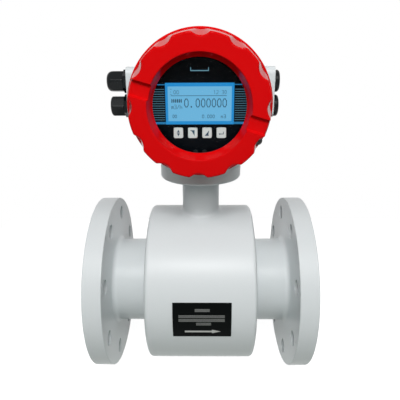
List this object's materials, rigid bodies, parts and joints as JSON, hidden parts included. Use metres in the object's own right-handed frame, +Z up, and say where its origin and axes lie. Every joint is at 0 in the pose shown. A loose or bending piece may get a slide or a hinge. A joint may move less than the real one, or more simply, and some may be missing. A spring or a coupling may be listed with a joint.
{
  "type": "electromagnetic flow meter",
  "caption": "Flanged electromagnetic flow meter: lined measuring tube in a coil drum, with a transmitter head on a neck, screw-on covers, display window and cable glands.",
  "frame": {"origin": "centre of the flow bore, midway between the two sealing faces", "axes": "+X along the flow, as the arrow on the drum points; -Y towards the viewer of the display; +Z up the neck"},
  "size_m": [0.269, 0.22, 0.4237],
  "materials": {
    "white_enamel": "gloss",
    "red_enamel": "gloss",
    "liner_rubber": "matte",
    "stainless": "satin",
    "zinc_screw": "satin",
    "black_screw": "satin",
    "insulator": "matte",
    "magnet_iron": "matte",
    "copper_coil": "satin",
    "label_black": "satin",
    "nylon_black": "satin",
    "seal_rubber": "matte",
    "glass": "clear",
    "black_anodised": "satin",
    "bezel_black": "gloss",
    "lcd_blue": "lit",
    "key_grey": "matte",
    "board_green": "satin",
    "module_black": "matte",
    "brass_post": "satin",
    "terminal_green": "matte"
  },
  "bodies": {
    "meter_body": {"bezel_screws": "zinc_screw", "board_posts": "brass_post", "coil_housing": "white_enamel", "display_bezel": "bezel_black", "display_board": "board_green", "earth_screw": "zinc_screw", "electrode_bushes": "insulator", "electrode_nuts": "stainless", "electrodes": "stainless", "flow_label": "label_black", "head_housing": "white_enamel", "housing_bosses": "white_enamel", "housing_foot": "white_enamel", "inlet_flange": "white_enamel", "key_switches": "module_black", "lcd_module": "lcd_blue", "liner": "liner_rubber", "liner_flares": "liner_rubber", "lower_coil": "copper_coil", "lower_gland_body": "nylon_black", "lower_gland_washer": "seal_rubber", "lower_pole": "magnet_iron", "magnetic_yoke": "magnet_iron", "main_board": "board_green", "measuring_tube": "white_enamel", "neck_flange": "white_enamel", "neck_gasket": "seal_rubber", "neck_screws": "zinc_screw", "neck_tube": "white_enamel", "neck_weld": "white_enamel", "outlet_flange": "white_enamel", "power_module": "module_black", "terminal_blocks": "terminal_green", "terminal_screws": "zinc_screw", "tube_welds": "white_enamel", "upper_coil": "copper_coil", "upper_gland_body": "nylon_black", "upper_gland_washer": "seal_rubber", "upper_pole": "magnet_iron"},
    "front_seal": {"front_seal": "seal_rubber"},
    "front_cover": {"front_cover": "red_enamel", "front_lock_screw": "black_screw", "window_glass": "glass", "window_gasket": "seal_rubber", "window_retainer": "black_anodised"},
    "rear_seal": {"rear_seal": "seal_rubber"},
    "rear_cover": {"rear_cover": "red_enamel", "rear_lock_screw": "black_screw"},
    "upper_insert": {"upper_gland_insert": "seal_rubber"},
    "upper_nut": {"upper_gland_nut": "nylon_black"},
    "lower_insert": {"lower_gland_insert": "seal_rubber"},
    "lower_nut": {"lower_gland_nut": "nylon_black"},
    "upper_plug_seal": {"upper_plug_washer": "seal_rubber"},
    "upper_plug": {"upper_plug": "nylon_black"},
    "lower_plug_seal": {"lower_plug_washer": "seal_rubber"},
    "lower_plug": {"lower_plug": "nylon_black"},
    "key_updown": {"key_updown": "key_grey"},
    "key_left": {"key_left": "key_grey"},
    "key_right": {"key_right": "key_grey"},
    "key_enter": {"key_enter": "key_grey"}
  },
  "joints": [
    {"name": "front_cover_advance", "type": "slide", "parent": "meter_body", "child": "front_seal", "axis": [0, -1, 0], "range_m": [0, 0.012]},
    {"name": "front_cover_turn", "type": "hinge", "parent": "front_seal", "child": "front_cover", "pos_m": [0, -0.0777, 0.238], "axis": [0, -1, 0], "range_deg": [0, 2160]},
    {"name": "rear_cover_advance", "type": "slide", "parent": "meter_body", "child": "rear_seal", "axis": [0, 1, 0], "range_m": [0, 0.012]},
    {"name": "rear_cover_turn", "type": "hinge", "parent": "rear_seal", "child": "rear_cover", "pos_m": [0, 0.0777, 0.238], "axis": [0, 1, 0], "range_deg": [0, 2160]},
    {"name": "upper_nut_advance", "type": "slide", "parent": "meter_body", "child": "upper_insert", "axis": [-1, 0, 0], "range_m": [0, 0.006]},
    {"name": "upper_nut_turn", "type": "hinge", "parent": "upper_insert", "child": "upper_nut", "pos_m": [-0.1, 0.02, 0.258], "axis": [-1, 0, 0], "range_deg": [0, 1440]},
    {"name": "lower_nut_advance", "type": "slide", "parent": "meter_body", "child": "lower_insert", "axis": [-1, 0, 0], "range_m": [0, 0.006]},
    {"name": "lower_nut_turn", "type": "hinge", "parent": "lower_insert", "child": "lower_nut", "pos_m": [-0.1, 0.02, 0.229], "axis": [-1, 0, 0], "range_deg": [0, 1440]},
    {"name": "upper_plug_advance", "type": "slide", "parent": "meter_body", "child": "upper_plug_seal", "axis": [1, 0, 0], "range_m": [0, 0.006]},
    {"name": "upper_plug_turn", "type": "hinge", "parent": "upper_plug_seal", "child": "upper_plug", "pos_m": [0.09, 0.02, 0.258], "axis": [1, 0, 0], "range_deg": [0, 1440]},
    {"name": "lower_plug_advance", "type": "slide", "parent": "meter_body", "child": "lower_plug_seal", "axis": [1, 0, 0], "range_m": [0, 0.006]},
    {"name": "lower_plug_turn", "type": "hinge", "parent": "lower_plug_seal", "child": "lower_plug", "pos_m": [0.09, 0.02, 0.229], "axis": [1, 0, 0], "range_deg": [0, 1440]},
    {"name": "key_updown_press", "type": "slide", "parent": "meter_body", "child": "key_updown", "axis": [0, 1, 0], "range_m": [0, 0.0005], "stiffness_N_per_m": 1000},
    {"name": "key_left_press", "type": "slide", "parent": "meter_body", "child": "key_left", "axis": [0, 1, 0], "range_m": [0, 0.0005], "stiffness_N_per_m": 1000},
    {"name": "key_right_press", "type": "slide", "parent": "meter_body", "child": "key_right", "axis": [0, 1, 0], "range_m": [0, 0.0005], "stiffness_N_per_m": 1000},
    {"name": "key_enter_press", "type": "slide", "parent": "meter_body", "child": "key_enter", "axis": [0, 1, 0], "range_m": [0, 0.0005], "stiffness_N_per_m": 1000}
  ],
  "couplings": [
    {"joint": "front_cover_advance", "follows": "front_cover_turn", "m_per_rad": 0.00031831},
    {"joint": "rear_cover_advance", "follows": "rear_cover_turn", "m_per_rad": 0.00031831},
    {"joint": "upper_nut_advance", "follows": "upper_nut_turn", "m_per_rad": 0.00023873},
    {"joint": "lower_nut_advance", "follows": "lower_nut_turn", "m_per_rad": 0.00023873},
    {"joint": "upper_plug_advance", "follows": "upper_plug_turn", "m_per_rad": 0.00023873},
    {"joint": "lower_plug_advance", "follows": "lower_plug_turn", "m_per_rad": 0.00023873}
  ]
}
